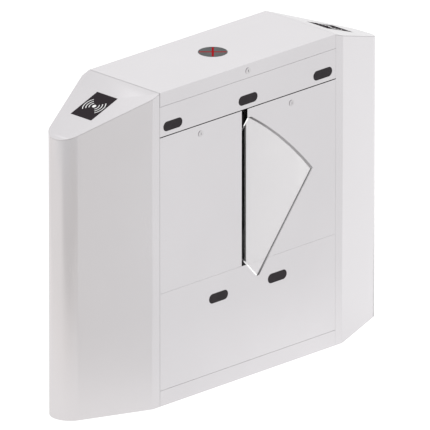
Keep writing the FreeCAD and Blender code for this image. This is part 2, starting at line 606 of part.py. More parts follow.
def flap():
    """Clear wing: straight outer edge, straight bottom edge and an arc about the pivot, with bolt holes."""
    arc_z = "sqrt(flap_radius ^ 2 - flap_outer ^ 2)"
    corner_y = "(flap_inner - flap_corner)"
    corner_z = "sqrt((flap_radius - flap_corner) ^ 2 - (flap_inner - flap_corner) ^ 2)"
    reach = "flap_radius / (flap_radius - flap_corner)"
    corners = [("-flap_outer", "flap_bottom"), ("flap_inner", "flap_bottom"),
               ("flap_inner", corner_z, "flap_corner"),
               (f"{corner_y} * {reach}", f"{corner_z} * {reach}", "flap_radius"), ("-flap_outer", arc_z)]
    holes = [(y, z, "bolt_radius + press_gap") for y, z in CLAMP_BOLTS]
    node("flap", swing_plate("flap_blank", corners, FLAP_LEFT, "flap_thickness", holes))


def flap_mounting():
    """Clamp plates, hub, collars, bolts and the shaft that carry the flap."""
    heel = "clamp_heel"
    corners = [(f"-{heel}", f"{heel} / 2"), (f"-{heel}", f"-{heel} / 2"), (f"-{heel} / 2", f"-{heel}"),
               (f"{heel} / 2", f"-{heel}"), ("clamp_far", "clamp_low"), ("clamp_far", "clamp_high"),
               ("clamp_near", "clamp_high"), ("clamp_knee", "clamp_low")]
    holes = [("0", "0", "shaft_radius + press_gap")]
    holes += [(y, z, "bolt_radius + press_gap") for y, z in CLAMP_BOLTS]
    plates = [swing_plate("clamp_plate", corners, left, "clamp_sheet", holes)
              for left in (f"{FLAP_LEFT} - clamp_sheet", FLAP_RIGHT)]
    node("flap_clamp_plates", group("clamp_plates", *plates))
    spans = [(FLAP_LEFT, FLAP_RIGHT, "hub_radius"),
             (f"{FLAP_LEFT} - clamp_sheet - collar_length", f"{FLAP_LEFT} - clamp_sheet", "collar_radius"),
             (f"{FLAP_RIGHT} + clamp_sheet", f"{FLAP_RIGHT} + clamp_sheet + collar_length", "collar_radius")]
    rings = []
    for low, high, radius in spans:
        ring = cylinder("hub_ring", "x", radius, (low, high), PIVOT)
        bore = cylinder("hub_bore", "x", "shaft_radius + press_gap", (f"{low} - sheet", f"{high} + sheet"),
                        PIVOT)
        rings.append(cut("hub_piece", ring, bore))
    node("flap_hub", group("hub_pieces", *rings))
    outer = (f"{FLAP_LEFT} - clamp_sheet", f"{FLAP_RIGHT} + clamp_sheet")
    bolts = []
    for y, z in CLAMP_BOLTS:
        centre = swung(y, z)
        shank = cylinder("bolt_shank", "x", "bolt_radius", outer, centre)
        heads = [cylinder("bolt_end", "x", "bolt_head_radius", span, centre)
                 for span in ((f"{outer[0]} - bolt_head", outer[0]), (outer[1], f"{outer[1]} + bolt_head"))]
        bolts.append(fuse("clamp_bolt", shank, *heads))
    node("clamp_bolts", group("clamp_bolt_set", *bolts))
    node("flap_shaft", cylinder("shaft", "x", "shaft_radius", ("shaft_left", "shaft_right"), PIVOT))


def round_bar(name, span, ends_yz, half_width, holes):
    """Flat bar with rounded ends between two points of the YZ plane, with a hole at each end."""
    (y_a, z_a), (y_b, z_b) = ends_yz
    length = f"sqrt((({y_b}) - ({y_a})) ^ 2 + (({z_b}) - ({z_a})) ^ 2)"
    angle = f"atan2(({z_b}) - ({z_a}); ({y_b}) - ({y_a}))"
    middle = doc.addObject("Part::Box", f"{name}_middle")
    middle.Placement = FreeCAD.Placement(Vector(), Rotation(Vector(1, 0, 0), 1))
    bind(middle, "Length", f"({span[1]}) - ({span[0]})")
    bind(middle, "Width", length)
    bind(middle, "Height", f"2 * ({half_width})")
    bind(middle, "Placement.Rotation.Angle", angle)
    put(middle, span[0], f"{y_a} + ({half_width}) * sin({angle})", f"{z_a} - ({half_width}) * cos({angle})")
    rounds = [cylinder(f"{name}_end", "x", half_width, span, point) for point in ends_yz]
    wide = (f"{span[0]} - sheet", f"{span[1]} + sheet")
    bores = [cylinder(f"{name}_bore", "x", radius, wide, point) for radius, point in zip(holes, ends_yz)]
    return cut(name, fuse(f"{name}_body", middle, *rounds), *bores)


def linkage():
    """Swing lever on the flap shaft, drive link and motor crank: a parallelogram, levers straight down."""
    lever_pin = ("pivot_y", "pivot_z - lever_throw")
    crank_pin = ("motor_y", "motor_z - lever_throw")
    motor_axis = ("motor_y", "motor_z")
    lever_span = ("lever_left", "lever_left + lever_thickness")
    link_span = ("link_left", "link_left + link_thickness")
    crank_span = ("crank_left", "crank_left + crank_thickness")
    lever = round_bar("lever_bar", lever_span, (PIVOT, lever_pin), "lever_half_width",
                      ("shaft_radius + press_gap", "link_pin_radius / 2"))
    boss = cylinder("lever_boss", "x", "collar_radius", lever_span, PIVOT)
    bore = cylinder("lever_bore", "x", "shaft_radius + press_gap",
                    ("lever_left - sheet", "lever_left + 2 * lever_thickness"), PIVOT)
    pin = cylinder("lever_pin", "x", "link_pin_radius",
                   ("lever_left", "link_left + link_thickness + pin_proud"), lever_pin)
    bored = cut("lever_bored", fuse("lever_body", lever, boss), bore)
    node("swing_lever", fuse("lever_with_pin", bored, pin))
    node("drive_link", round_bar("link_bar", link_span, (lever_pin, crank_pin), "link_half_width",
                                 ("link_pin_radius + open_pivot_gap", "link_pin_radius + running_gap")))
    crank = round_bar("crank_bar", crank_span, (motor_axis, crank_pin), "lever_half_width",
                      ("output_radius + press_gap", "link_pin_radius / 2"))
    crank_stud = cylinder("crank_stud", "x", "link_pin_radius",
                          ("link_left - pin_proud", "crank_left + crank_thickness"), crank_pin)
    node("motor_crank", fuse("crank_with_stud", crank, crank_stud))
    node("output_shaft", cylinder("gear_shaft", "x", "output_radius",
                                  ("crank_left", "drive_left + stand_sheet + tube"), motor_axis))


# ---- Mechanism stand, bearings, motor and sensors -------------------------------------------------

def stand():
    """Mechanism base on four legs, with the bearing plate and the longer drive plate standing on it."""
    floor = "base_bottom + plate"
    legs = []
    for x in ("leg_left", "leg_right"):
        for sign in ("-", ""):
            centre = (x, f"{sign}leg_y")
            tube = cylinder("leg_tube", "z", "leg_radius", ("plate", "base_bottom"), centre)
            legs.append(cut("leg", tube, cylinder("leg_hollow", "z", "leg_bore", ("0", floor), centre)))
    node("mechanism_legs", group("legs", *legs))
    node("mechanism_base", box("base_sheet", ("base_left", "base_right"),
                               ("-base_half_width", "base_half_width"), ("base_bottom", floor)))
    for name, left, back, foot in (("bearing_plate", "stand_left", "stand_back", "-"),
                                   ("drive_plate", "drive_left", "drive_back", "+")):
        span = (left, f"{left} + stand_sheet")
        wall = box(f"{name}_wall", span, ("-stand_front", back), (floor, "stand_top"))
        foot_x = (f"{left} - foot", left) if foot == "-" else (span[1], f"{span[1]} + foot")
        toe = box(f"{name}_foot", foot_x, ("-base_half_width", back), (floor, f"{floor} + stand_sheet"))
        wide = (f"{left} - sheet", f"{left} + stand_sheet + sheet")
        holes = [cylinder(f"{name}_shaft_hole", "x", "shaft_clear", wide, PIVOT)]
        holes += [cylinder(f"{name}_bolt_hole", "x", "bearing_bolt_radius + press_gap", wide, point)
                  for point in bearing_bolt_places()]
        if name == "drive_plate":
            holes.append(cylinder("output_hole", "x", "shaft_clear", wide, ("motor_y", "motor_z")))
        node(name, cut(f"{name}_cut", fuse(f"{name}_body", wall, toe), *holes))


def bearing_bolt_places():
    """Four bolt centres of a flange bearing, on the diagonals."""
    step = "bearing_bolt_ring / sqrt(2)"
    return [(f"pivot_y {i} {step}", f"pivot_z {j} {step}") for i in "-+" for j in "-+"]


def bearings():
    """Flange bearings on the outer faces of both plates, with their bolts."""
    bolts, flanges = [], []
    right_face = "drive_left + stand_sheet"
    for side, near, far in (("left", "stand_left", "stand_left - bearing_length"),
                            ("right", right_face, f"{right_face} + bearing_length")):
        span = (far, near) if side == "left" else (near, far)
        flange = cylinder(f"bearing_{side}_body", "x", "bearing_radius", span, PIVOT)
        bore = cylinder(f"bearing_{side}_bore", "x", "shaft_radius + running_gap",
                        (f"{span[0]} - sheet", f"{span[1]} + sheet"), PIVOT)
        holes = [cylinder("bearing_hole", "x", "bearing_bolt_radius + press_gap",
                          (f"{span[0]} - sheet", f"{span[1]} + sheet"), point)
                 for point in bearing_bolt_places()]
        flanges.append(cut(f"bearing_{side}_cut", flange, bore, *holes))
        if side == "left":
            reach = (f"{far} - bearing_head_height", "stand_left + stand_sheet + bearing_head_height")
            collars = [(reach[0], far), ("stand_left + stand_sheet", reach[1])]
        else:
            reach = ("drive_left", f"{far} + bearing_head_height")
            collars = [(far, reach[1])]
        for point in bearing_bolt_places():
            shank = cylinder("bearing_shank", "x", "bearing_bolt_radius", reach, point)
            heads = [cylinder("bearing_head", "x", "bearing_head_radius", collar, point)
                     for collar in collars]
            bolts.append(fuse("bearing_bolt", shank, *heads))
    node("flange_bearings", group("bearings", *flanges))
    node("bearing_bolts", group("bearing_bolt_set", *bolts))


def drive():
    """Gear motor on the drive plate: square gearbox with a bored output, round motor and its end cap."""
    face = "drive_left + stand_sheet"
    half = "gearbox_width / 2"
    centre = ("motor_y", "motor_z")
    case = box("gearbox_case", (face, f"{face} + gearbox_length"),
               (f"motor_y - {half}", f"motor_y + {half}"), (f"motor_z - {half}", f"motor_z + {half}"))
    bore = cylinder("gearbox_bore", "x", "output_radius + running_gap",
                    (f"{face} - sheet", f"{face} + tube + sheet"), centre)
    node("gearbox", cut("gearbox_bored", case, bore))
    start = f"{face} + gearbox_length"
    can = cylinder("motor_can", "x", "motor_radius", (start, f"{start} + motor_length"), centre)
    cap = cylinder("motor_cap", "x", "motor_cap_radius",
                   (f"{start} + motor_length", f"{start} + motor_length + motor_cap_length"), centre)
    node("motor", fuse("motor_body", can, cap))


def limits():
    """Rubber bumpers that stop the lever, and the flag and fork sensors that report its two ends."""
    span = ("lever_left - sheet", "drive_left")
    offset = "(lever_half_width + bumper_radius + bumper_gap)"
    out_stop = (f"pivot_y + {offset}", "pivot_z - bumper_along")
    in_stop = (f"pivot_y - bumper_along * sin(flap_swing) - {offset} * cos(flap_swing)",
               f"pivot_z - bumper_along * cos(flap_swing) + {offset} * sin(flap_swing)")
    node("limit_bumpers", group("bumpers", *[cylinder("bumper", "x", "bumper_radius", span, stop)
                                             for stop in (out_stop, in_stop)]))
    flag_span = ("flag_left", "flag_left + flag_thickness")
    disc = cylinder("flag_disc", "x", "flag_radius", flag_span, PIVOT)
    wide = ("flag_left - sheet", "flag_left + 2 * sheet")
    bore = cylinder("flag_bore", "x", "shaft_radius + press_gap", wide, PIVOT)
    lower = box("flag_lower", wide,
                ("pivot_y - 2 * flag_radius", "pivot_y + 2 * flag_radius"),
                ("pivot_z - 2 * flag_radius", "pivot_z - shaft_radius - sheet"))
    node("sensor_flag", cut("flag_cut", disc, bore, lower))
    forks = []
    slot_middle = "flag_left + flag_thickness / 2"
    for sign in "-+":
        y = (f"pivot_y {sign} fork_offset - fork_width / 2", f"pivot_y {sign} fork_offset + fork_width / 2")
        z = (f"pivot_z + fork_height / 2", f"pivot_z + 3 * fork_height / 2")
        block = box("fork_body", ("fork_left", "stand_left"), y, z)
        slot = box("fork_gap", (f"{slot_middle} - fork_slot / 2", f"{slot_middle} + fork_slot / 2"),
                   (f"{y[0]} - sheet", f"{y[1]} + sheet"),
                   (f"{z[0]} - sheet", f"{z[0]} + fork_height - 2 * sheet"))
        notch = cylinder("fork_relief", "x", "bearing_radius + fork_clearance",
                         ("stand_left - bearing_length - sheet", "stand_left + sheet"), PIVOT)
        forks.append(cut("fork", block, slot, notch))
    node("limit_sensors", group("forks", *forks))


# ---- Electrical equipment -------------------------------------------------------------------------

def equipment():
    """Equipment plate behind the right door with the control box, power supply and terminal rail."""
    face = "post_inner_y - sheet"
    node("equipment_plate", box("equipment_sheet", ("equipment_left", "equipment_right"),
                                (face, "post_inner_y"), ("equipment_bottom", "equipment_top")))
    node("control_box", box("control_case", ("box_left", "box_left + box_width"),
                            (f"{face} - box_depth", face), ("box_bottom", "box_bottom + box_height")))
    node("power_supply", box("supply_case", ("box_left", "box_left + supply_width"),
                             (f"{face} - supply_depth", face),
                             ("supply_bottom", "supply_bottom + supply_height")))
    rail_z = ("rail_bottom", "rail_bottom + rail_height")
    rail = box("rail_body", ("rail_left", "rail_left + rail_length"), (f"{face} - rail_depth", face), rail_z)
    node("terminal_rail", rail)
    middle = "rail_bottom + rail_height / 2"
    blocks = [box("terminal", (f"terminal_first + {index} * terminal_pitch",
                               f"terminal_first + {index} * terminal_pitch + terminal_width"),
                  (f"{face} - rail_depth - terminal_depth", f"{face} - rail_depth"),
                  (f"{middle} - terminal_height / 2", f"{middle} + terminal_height / 2"))
              for index in range(SIZES["terminal_count"])]
    node("terminal_blocks", group("terminals", *blocks))


# ---- Document -------------------------------------------------------------------------------------

def build():
    base_plate()
    frame()
    front_sheets()
    sensors()
    ends()
    lid()
    indicator()
    doors()
    locks()
    lid_hinges()
    flap()
    flap_mounting()
    linkage()
    stand()
    bearings()
    drive()
    limits()
    equipment()
    doc.recompute()


def check_and_write():
    """Stop on any failed object or bad shape, then write one STEP file per piece."""
    failed = [item.Label for item in doc.Objects if {"Invalid", "Error"} & set(item.State)]
    if failed:
        raise RuntimeError(f"failed objects: {failed}")
    os.makedirs("parts", exist_ok=True)
    for label, item in NODES.items():
        if item.Label != label:
            raise RuntimeError(f"label of {label} was changed to {item.Label}")
        if item.Shape.isNull() or not item.Shape.isValid() or not item.Shape.Solids:
            raise RuntimeError(f"bad shape: {label}")
        item.Shape.exportStep(f"parts/{label}.step")


build()
check_and_write()
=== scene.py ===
"""Looks of the flap-barrier turnstile cabinet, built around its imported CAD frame. Metres, +Z up."""
import math

import bmesh
import bpy
from mathutils import Matrix, Vector


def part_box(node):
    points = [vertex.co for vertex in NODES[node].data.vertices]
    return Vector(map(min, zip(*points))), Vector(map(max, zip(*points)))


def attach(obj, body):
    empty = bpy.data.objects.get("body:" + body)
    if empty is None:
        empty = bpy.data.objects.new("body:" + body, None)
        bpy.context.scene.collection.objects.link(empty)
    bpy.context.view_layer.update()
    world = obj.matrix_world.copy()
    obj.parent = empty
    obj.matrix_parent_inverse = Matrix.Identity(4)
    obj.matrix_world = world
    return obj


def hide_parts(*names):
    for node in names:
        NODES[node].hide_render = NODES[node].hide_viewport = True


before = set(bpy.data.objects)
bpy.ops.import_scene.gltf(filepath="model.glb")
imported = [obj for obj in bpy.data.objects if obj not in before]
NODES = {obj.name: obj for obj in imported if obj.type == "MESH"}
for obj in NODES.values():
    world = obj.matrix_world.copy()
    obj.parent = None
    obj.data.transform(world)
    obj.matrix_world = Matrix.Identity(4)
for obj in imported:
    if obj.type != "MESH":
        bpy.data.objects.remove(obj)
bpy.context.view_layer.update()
MM = 0.001
READER_SLOPE = 20
FLAP_PIVOT = Vector((0, -0.1, 0.237))
FLAP_SWING = 29.5


# ---- Camera -------------------------------------------------------------------------------------

def make_camera():
    """Very long lens from the front left, so the view is all but parallel."""
    azimuth, elevation = math.radians(-44.92), math.radians(20.1)
    target = Vector((0.0034, -0.0060, 0.479))
    frame_width = 1.295
    data = bpy.data.cameras.new("camera")
    data.sensor_width = 36
    data.lens = 1700
    distance = frame_width / data.sensor_width * data.lens
    back = Vector((math.sin(azimuth) * math.cos(elevation),
                   -math.cos(azimuth) * math.cos(elevation),
                   math.sin(elevation)))
    camera = bpy.data.objects.new("camera", data)
    bpy.context.scene.collection.objects.link(camera)
    camera.location = target + back * distance
    camera.rotation_euler = (-back).to_track_quat("-Z", "Y").to_euler()
    data.clip_start, data.clip_end = 1, 2 * distance
    bpy.context.scene.camera = camera


# ---- Materials ----------------------------------------------------------------------------------

class Shader:
    """A Principled material with a few chained procedural helpers."""

    def __init__(self, name, color, roughness, metallic=0.0, **sockets):
        self.material = bpy.data.materials.new(name)
        self.material.use_nodes = True
        self.tree = self.material.node_tree
        self.bsdf = self.tree.nodes["Principled BSDF"]
        self.set("Base Color", (*color, 1))
        self.set("Roughness", roughness)
        self.set("Metallic", metallic)
        for socket, value in sockets.items():
            self.set(socket.replace("_", " "), value)
        self.color, self.roughness = color, roughness

    def set(self, socket, value):
        self.bsdf.inputs[socket].default_value = value

    def add(self, kind, **values):
        """New node; each value is a property of it or, failing that, a socket."""
        item = self.tree.nodes.new(kind)
        for key, value in values.items():
            if hasattr(item, key):
                setattr(item, key, value)
            else:
                item.inputs[key.replace("_", " ")].default_value = value
        return item

    def link(self, source, target):
        self.tree.links.new(source, target)

    def feed(self, source, socket):
        """Let a socket of the material follow another node."""
        self.link(source, self.bsdf.inputs[socket])

    def noise(self, scale, detail, stretch=(1, 1, 1)):
        """Noise over the object's own metres, stretched per axis."""
        place = self.add("ShaderNodeTexCoord")
        mapping = self.add("ShaderNodeMapping")
        mapping.inputs["Scale"].default_value = stretch
        noise = self.add("ShaderNodeTexNoise", Scale=scale, Detail=detail)
        self.link(place.outputs["Object"], mapping.inputs["Vector"])
        self.link(mapping.outputs["Vector"], noise.inputs["Vector"])
        return noise.outputs["Fac"]

    def remap(self, factor, span, levels):
        """Factor mapped from a span onto levels, and held at its ends."""
        ranged = self.add("ShaderNodeMapRange", From_Min=span[0], From_Max=span[1],
                          To_Min=levels[0], To_Max=levels[1])
        self.link(factor, ranged.inputs["Value"])
        return ranged.outputs["Result"]

    def spread(self, noise, low, high):
        """The middle range of a noise, where nearly all of it lies, mapped onto low to high."""
        return self.remap(noise, (0.3, 0.7), (low, high))

    def ramp(self, axis, span, levels):
        """Level that follows one object axis, in metres, from the span's start to its end."""
        place = self.add("ShaderNodeTexCoord")
        split = self.add("ShaderNodeSeparateXYZ")
        self.link(place.outputs["Object"], split.inputs[0])
        return self.remap(split.outputs[axis], span, levels)

    def mix(self, first, second, factor):
        """Colour that runs from the first to the second as the factor goes from 0 to 1."""
        color_a, color_b, result = 6, 7, 2
        mix = self.add("ShaderNodeMix", data_type="RGBA")
        mix.inputs[color_a].default_value = (*first, 1)
        mix.inputs[color_b].default_value = (*second, 1)
        self.link(factor, mix.inputs[0])
        return mix.outputs[result]

    def vary_color(self, noise, share):
        """Base colour darkened and lightened by a share, following a noise."""
        darker = [c * (1 - share) for c in self.color]
        lighter = [min(1, c * (1 + share)) for c in self.color]
        self.feed(self.mix(darker, lighter, self.spread(noise, 0, 1)), "Base Color")
        return self

    def vary_roughness(self, noise, amount):
        self.feed(self.spread(noise, self.roughness - amount, self.roughness + amount), "Roughness")
        return self

    def bump(self, noise, height, strength):
        bump = self.add("ShaderNodeBump", Strength=strength, Distance=height)
        self.link(noise, bump.inputs["Height"])
        self.feed(bump.outputs["Normal"], "Normal")


# How the noise is stretched for each direction of brushing.
GRAIN = {"x": (1, 60, 60), "z": (60, 60, 1), "slope": (1, 60, 1)}


def brushed(name, color, roughness, along, grazing=0.85):
    """Brushed metal: fine streaks along one direction over faint wide clouding."""
    shader = Shader(name, color, roughness, 1.0, Specular_Tint=(grazing, grazing, grazing, 1))
    streaks = shader.noise(28, 4, GRAIN[along])
    clouds = shader.noise(5, 2)
    both = shader.add("ShaderNodeMath", operation="MULTIPLY_ADD")
    both.inputs[1].default_value = 0.6
    shader.link(streaks, both.inputs[0])
    softened = shader.add("ShaderNodeMath", operation="MULTIPLY")
    softened.inputs[1].default_value = 0.4
    shader.link(clouds, softened.inputs[0])
    shader.link(softened.outputs[0], both.inputs[2])
    shader.vary_color(both.outputs[0], 0.03)
    shader.vary_roughness(both.outputs[0], 0.04)
    shader.bump(streaks, 0.00004, 0.25)
    return shader.material


def plain_metal(name, color, roughness):
    """Turned or plated metal with light handling marks."""
    shader = Shader(name, color, roughness, 1.0)
    marks = shader.noise(90, 4)
    shader.vary_color(marks, 0.05).vary_roughness(marks, 0.04)
    return shader.material


def moulded(name, color, roughness, grain=600, shine=0.5):
    """Moulded plastic or rubber with a fine sparked texture."""
    shader = Shader(name, color, roughness, Specular_IOR_Level=shine)
    texture = shader.noise(grain, 2)
    shader.vary_color(texture, 0.1).vary_roughness(texture, 0.05)
    shader.bump(texture, 0.00005, 0.3)
    return shader.material


def powder_coat(name, color, roughness):
    """Powder-coated metal with faint orange peel."""
    shader = Shader(name, color, roughness, Coat_Weight=0.15)
    peel = shader.noise(350, 2)
    shader.vary_color(peel, 0.06).vary_roughness(peel, 0.04)
    shader.bump(peel, 0.00006, 0.3)
    return shader.material


def gloss(name, color, shine=0.1):
    """Dark anti-glare acrylic with faint dust in its sheen."""
    shader = Shader(name, color, 0.12, Specular_IOR_Level=shine, Coat_Weight=shine,
                    Coat_Roughness=0.05)
    film = shader.noise(40, 3)
    shader.vary_color(film, 0.15).vary_roughness(film, 0.03)
    return shader.material


ACRYLIC_IOR = 1.49
SCRATCHES = (12, 3, (4, 40, 40))


def polished_acrylic(name):
    """Clear acrylic edge, polished and finely scratched."""
    shader = Shader(name, (0.95, 0.95, 0.95), 0.03, IOR=ACRYLIC_IOR, Transmission_Weight=0.97)
    shader.vary_roughness(shader.noise(*SCRATCHES), 0.01)
    return shader.material


def wing_acrylic(name, painted_veil, glow):
    """Clear acrylic sheet with a faint painted veil and glow, standing in for reflected light, on the
    part that stands out of the slot.
    """
    shader = Shader(name, (0.99, 0.99, 0.99), 0.015, IOR=ACRYLIC_IOR, Emission_Color=(1, 1, 1, 1))
    slot_mouth = (-0.159, -0.153)
    shader.feed(shader.ramp("Y", slot_mouth, (1 - painted_veil, 1)), "Transmission Weight")
    shader.feed(shader.ramp("Y", slot_mouth, (glow, 0)), "Emission Strength")
    shader.vary_roughness(shader.noise(*SCRATCHES), 0.01)
    return shader.material


def sawn_edge(name, dark, pale, *ramps):
    """Sawn acrylic with matte saw marks and painted shade that darkens it towards the end of each of
    its ramps.
    """
    shader = Shader(name, pale, 0.4, IOR=ACRYLIC_IOR, Transmission_Weight=0.5)
    darkest = shader.add("ShaderNodeMath", operation="MAXIMUM")
    for socket, (axis, span) in zip(darkest.inputs, ramps):
        shader.link(shader.ramp(axis, span, (0, 1)), socket)
    shader.feed(shader.mix(pale, dark, darkest.outputs[0]), "Base Color")
    marks = shader.noise(60, 3, (1, 30, 30))
    shader.vary_roughness(marks, 0.08)
    return shader.material


def glowing(name, color, strength, shine=0.1):
    """Lit diffuser with soft hot spots where its lamps sit."""
    shader = Shader(name, color, 0.3, Specular_IOR_Level=shine, Emission_Color=(*color, 1))
    spots = shader.noise(160, 1)
    shader.feed(shader.spread(spots, strength * 0.7, strength * 1.3), "Emission Strength")
    return shader.material


STEEL = (0.60, 0.584, 0.598)
PAINT = {
    "sheet_x": brushed("sheet_grain_x", STEEL, 0.24, "x"),
    "sheet_z": brushed("sheet_grain_z", STEEL, 0.24, "z"),
    # Painted shade: the reader slopes' copy of the steel has a weaker grazing tint than the other
    # sheets, so they read darker at grazing angles; the grain direction is real.
    "sheet_slope": brushed("sheet_grain_y_painted_shade", STEEL, 0.24, "slope", grazing=0.74),
    "window": gloss("smoked_window", (0.02, 0.016, 0.019)),
    "film": moulded("anti_glare_film", (0.036, 0.030, 0.034), 0.5, grain=900, shine=0.0),
    "lens": gloss("indicator_lens", (0.082, 0.088, 0.089), shine=0.02),
    "cross": glowing("cross_red", (0.30, 0.010, 0.014), 0.2, shine=0.0),
    "symbol": moulded("printed_white", (0.92, 0.92, 0.92), 0.35, grain=900),
    # Painted veil and glow: less transmission and a faint emission lighten the flap outside the slot.
    "acrylic": wing_acrylic("clear_acrylic", painted_veil=0.1, glow=0.022),
    # Painted shade on the flap's arc and front edges, blended in along the ramps below.
    "arc_edge": sawn_edge("sawn_acrylic_painted_shade", (0.15, 0.145, 0.15), (0.41, 0.4, 0.41),
                          ("Z", (0.815, 0.836))),
    "front_edge": sawn_edge("sawn_front_painted_shade", (0.02, 0.018, 0.02), (0.5, 0.49, 0.5),
                            ("X", (-0.011, -0.016)), ("Z", (0.45, 0.36))),
    "acrylic_edge": polished_acrylic("polished_acrylic"),
    "rim": moulded("indicator_rim", (0.045, 0.045, 0.047), 0.5),
    "lamp_green": glowing("lamp_green", (0.1, 0.75, 0.2), 0.5),
    "lamp_amber": glowing("lamp_amber", (0.9, 0.45, 0.03), 0.5),
    "black": moulded("black_moulding", (0.02, 0.02, 0.022), 0.45),
    "board": moulded("solder_mask", (0.01, 0.13, 0.05), 0.3, grain=300),
    "frame": powder_coat("grey_powder_coat", (0.10, 0.105, 0.11), 0.45),
    "zinc": plain_metal("zinc_plate", (0.62, 0.63, 0.65), 0.35),
    "machined": plain_metal("machined_steel", (0.55, 0.55, 0.56), 0.24),
    "bolt": plain_metal("bolt_steel", (0.5, 0.5, 0.52), 0.3),
    "chrome": plain_metal("nickel_plate", (0.56, 0.545, 0.555), 0.22),
    "hinge": brushed("hinge_satin", (0.5, 0.49, 0.5), 0.3, "x"),
    "iron": powder_coat("bearing_paint", (0.06, 0.08, 0.11), 0.4),
    "gearbox": plain_metal("die_cast", (0.55, 0.56, 0.57), 0.42),
    "motor": powder_coat("black_enamel", (0.02, 0.02, 0.022), 0.35),
    "rubber": moulded("rubber", (0.018, 0.018, 0.018), 0.7, grain=400),
    "grey_plastic": moulded("light_grey_moulding", (0.55, 0.56, 0.55), 0.45),
    "supply": plain_metal("pressed_aluminium", (0.68, 0.69, 0.70), 0.32),
    "terminal": moulded("terminal_grey", (0.25, 0.26, 0.25), 0.5),
}

FINISH = {
    "sheet_x": ["base_strips", "lower_front_panel", "sensor_strip", "rear_panel", "lid",
                "door_left", "door_right"],
    "sheet_z": ["end_cover_left", "end_cover_right"],
    "sheet_slope": ["reader_panel_left", "reader_panel_right"],
    "window": ["sensor_windows"],
    "film": ["reader_window_left", "reader_window_right"],
    "lens": ["indicator_lens"],
    "cross": ["indicator_cross"],
    "board": ["indicator_board"],
    "black": ["reader_modules", "sensor_modules", "indicator_housing", "limit_sensors"],
    "frame": ["frame_posts", "frame_rails", "base_plate", "mechanism_base", "mechanism_legs"],
    "zinc": ["equipment_plate", "bearing_plate", "drive_plate", "lock_keepers", "terminal_rail"],
    "machined": ["flap_shaft", "flap_hub", "swing_lever", "drive_link", "motor_crank",
                 "output_shaft", "sensor_flag"],
    "bolt": ["clamp_bolts", "bearing_bolts", "earth_stud"],
    "chrome": ["lock_barrel_left", "lock_barrel_right", "lock_barrel_lid", "lock_plug_left",
               "lock_plug_right", "lock_plug_lid"],
    "hinge": ["lid_hinge_fixed_leaves", "lid_hinge_moving_leaves", "lid_hinge_pins"],
    "iron": ["flange_bearings"],
    "gearbox": ["gearbox"],
    # The flap's clamp plates share the motor's black enamel; the dark also serves as painted shade
    # inside the slot, where they show through the flap.
    "motor": ["motor", "flap_clamp_plates"],
    "rubber": ["limit_bumpers", "cable_grommet"],
    "grey_plastic": ["control_box"],
    "supply": ["power_supply"],
    "terminal": ["terminal_blocks"],
    "acrylic": ["flap"],
}


def finish_nodes():
    """Give every CAD node its material."""
    for paint, names in FINISH.items():
        for name in names:
            slots = NODES[name].data.materials
            slots.clear()
            slots.append(PAINT[paint])


def soften_sheets():
    """Round the sharp edges of the sheet metal with modifiers only."""
    for name in FINISH["sheet_x"] + FINISH["sheet_z"] + FINISH["sheet_slope"]:
        weld = NODES[name].modifiers.new("weld", "WELD")
        weld.merge_threshold = 0.01 * MM
        round_edges(NODES[name], 0.12 * MM)


# ---- Stage --------------------------------------------------------------------------------------

def lean(tree, source, weights, level):
    """Level plus a weighted sum of a direction's x, y and z."""
    parts = tree.nodes.new("ShaderNodeSeparateXYZ")
    tree.links.new(source, parts.inputs[0])
    total = None
    for axis, weight in enumerate(weights):
        step = tree.nodes.new("ShaderNodeMath")
        step.operation = "MULTIPLY_ADD"
        step.inputs[1].default_value = weight
        step.inputs[2].default_value = level
        tree.links.new(parts.outputs[axis], step.inputs[0])
        if total:
            tree.links.new(total, step.inputs[2])
        total = step.outputs[0]
    return total


def level_plane(name, height, paint):
    """Wide level plane that isn't part of the object."""
    reach = 60
    corners = [(-reach, -reach, 0), (reach, -reach, 0), (reach, reach, 0), (-reach, reach, 0)]
    mesh = bpy.data.meshes.new(name)
    mesh.from_pydata(corners, [], [(0, 1, 2, 3)])
    plane = bpy.data.objects.new(name, mesh)
    plane.location.z = height
    bpy.context.scene.collection.objects.link(plane)
    mesh.materials.append(paint.material)
    return plane


def make_floor():
    """Plain white floor that only the camera sees."""
    white = Shader("floor_white", (0.12, 0.12, 0.12), 0.9, Emission_Color=(1, 1, 1, 1),
                   Emission_Strength=1.05)
    floor = level_plane("floor", 0, white)
    floor.visible_glossy = False
    floor.visible_diffuse = False
    floor.visible_transmission = False
    floor.visible_shadow = False


def make_bounce():
    """Glow just under the floor for the metal to mirror, warmer and dimmer towards the left.

    It changes only inside a rectangle in front of the cabinet.
    """
    bounce = Shader("floor_bounce", (0.12, 0.12, 0.12), 0.9)
    warmth = bounce.ramp("X", (-0.2, -1.0), (0, 1))
    bounce.feed(bounce.mix((1, 1, 1), (1, 0.975, 0.95), warmth), "Emission Color")
    place = bounce.add("ShaderNodeTexCoord").outputs["Object"]
    for operation, corner in (("MAXIMUM", (-1.6, -0.73, 0)), ("MINIMUM", (0.28, 0, 0))):
        limit = bounce.add("ShaderNodeVectorMath", operation=operation)
        limit.inputs[1].default_value = corner
        bounce.link(place, limit.inputs[0])
        place = limit.outputs[0]
    bounce.feed(lean(bounce.tree, place, (0.14, 0.35, 0), 1.2), "Emission Strength")
    level_plane("floor_bounce", -MM, bounce).visible_camera = False


def make_surroundings():
    """White studio, brighter towards the back and the right and softer overhead."""
    world = bpy.data.worlds.new("studio")
    bpy.context.scene.world = world
    world.use_nodes = True
    tree = world.node_tree
    background = tree.nodes["Background"]
    background.inputs["Color"].default_value = (1, 1, 1, 1)
    place = tree.nodes.new("ShaderNodeTexCoord")
    glow = lean(tree, place.outputs["Generated"], (0.2, 0.19, -0.33), 1.2)
    tree.links.new(glow, background.inputs["Strength"])
    bpy.context.scene.view_settings.view_transform = "Standard"


